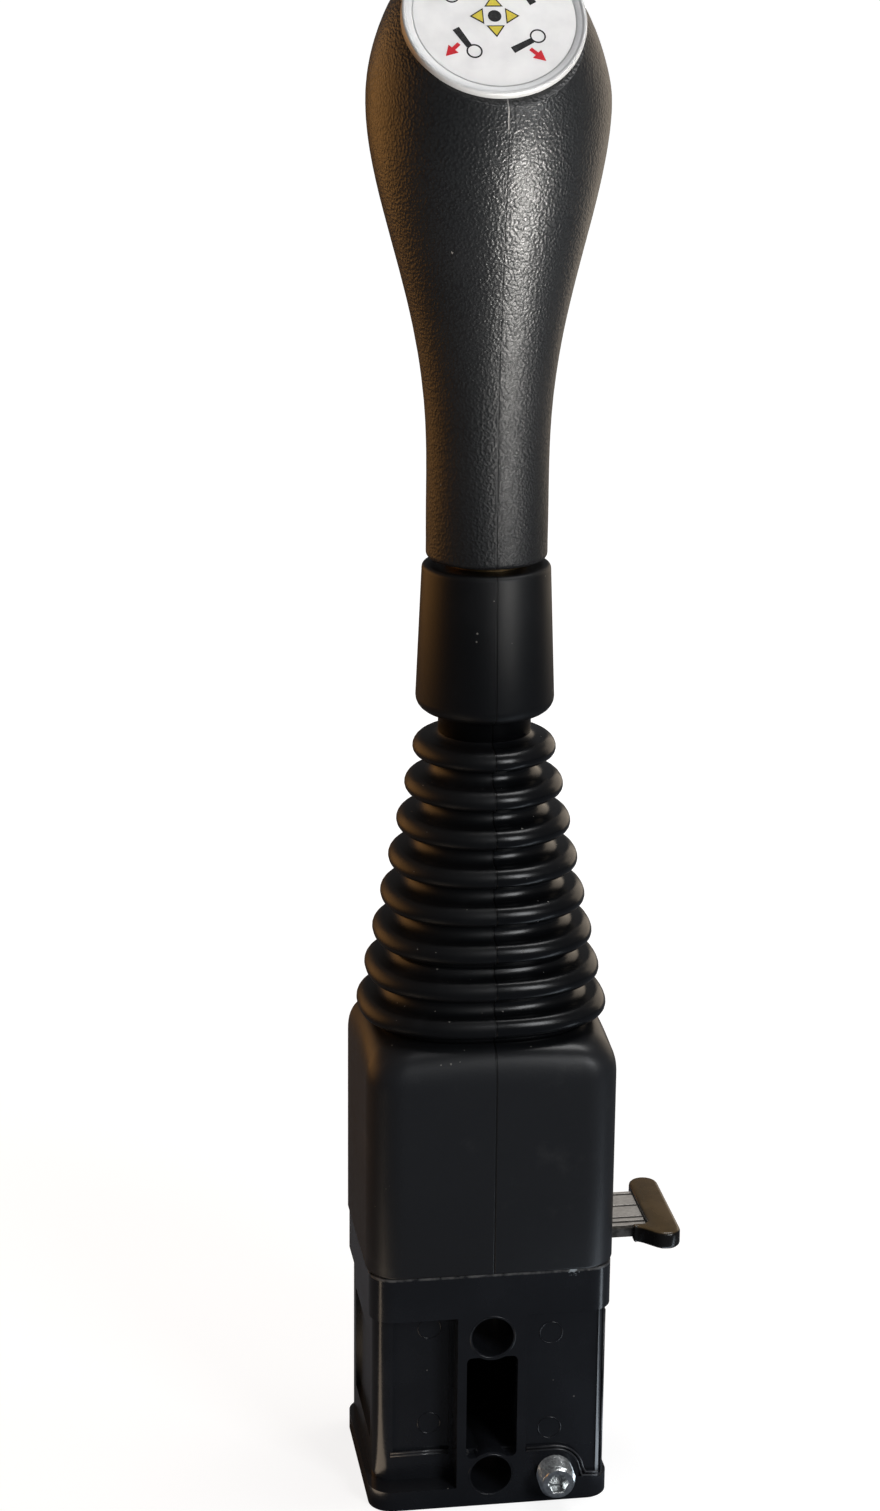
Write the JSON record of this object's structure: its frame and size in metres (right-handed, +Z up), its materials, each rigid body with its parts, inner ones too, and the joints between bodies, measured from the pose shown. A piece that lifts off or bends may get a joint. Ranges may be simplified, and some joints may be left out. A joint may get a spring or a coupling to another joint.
{
  "type": "hydraulic remote-control joystick",
  "caption": "Two-axis joystick for remote control of a hydraulic valve: oval-head grip, bellows gaiter, square black housing with cable inlets and a pull-out neutral lock.",
  "frame": {"origin": "on the lever's axis, in the plane of the housing's underside", "axes": "+Z up along the lever at rest, +X towards the neutral lock's pull handle, -Y towards the operator"},
  "size_m": [0.0687, 0.0528, 0.3285],
  "materials": {
    "housing_black": "gloss",
    "rubber_black": "matt",
    "grip_black": "grained satin",
    "plate_white": "gloss",
    "bezel_grey": "satin",
    "pull_black": "gloss",
    "zinc_steel": "zinc plated",
    "bright_steel": "ground",
    "cast_alloy": "as cast",
    "guide_black": "satin",
    "insert_brass": "machined"
  },
  "bodies": {
    "base": {"housing": "housing_black", "cable_screw_front": "zinc_steel", "cable_screw_rear": "zinc_steel", "pivot_pin_left": "bright_steel", "pivot_pin_right": "bright_steel", "slide_guide": "guide_black", "guide_screw_front": "zinc_steel", "guide_screw_rear": "zinc_steel", "gaiter_skirt": "rubber_black", "gaiter_bellows": "rubber_black"},
    "pitch_ring": {"gimbal_ring": "cast_alloy", "roll_pin_front": "bright_steel", "roll_pin_rear": "bright_steel", "ball_stud_pitch": "zinc_steel"},
    "lever": {"lever_hub": "cast_alloy", "ball_stud_roll": "zinc_steel", "lock_pin": "bright_steel", "lever_rod": "bright_steel", "lock_nut": "zinc_steel", "handle_insert": "insert_brass", "handle_grip": "grip_black", "plate_bezel": "bezel_grey", "function_plate": "plate_white", "gaiter_sleeve": "rubber_black"},
    "lock_slider": {"lock_strip": "zinc_steel", "lock_handle": "pull_black"}
  },
  "joints": [
    {"name": "pitch", "type": "hinge", "parent": "base", "child": "pitch_ring", "pos_m": [0, 0, 0.072], "axis": [1, 0, 0], "range_deg": [-15, 15], "stiffness_Nm_per_rad": 1.5, "deforming": ["gaiter_bellows"]},
    {"name": "roll", "type": "hinge", "parent": "pitch_ring", "child": "lever", "pos_m": [0, 0, 0.072], "axis": [0, 1, 0], "range_deg": [-15, 15], "stiffness_Nm_per_rad": 1.5, "deforming": ["gaiter_bellows"]},
    {"name": "lock_slide", "type": "slide", "parent": "base", "child": "lock_slider", "axis": [-1, 0, 0], "range_m": [0, 0.0035]}
  ]
}
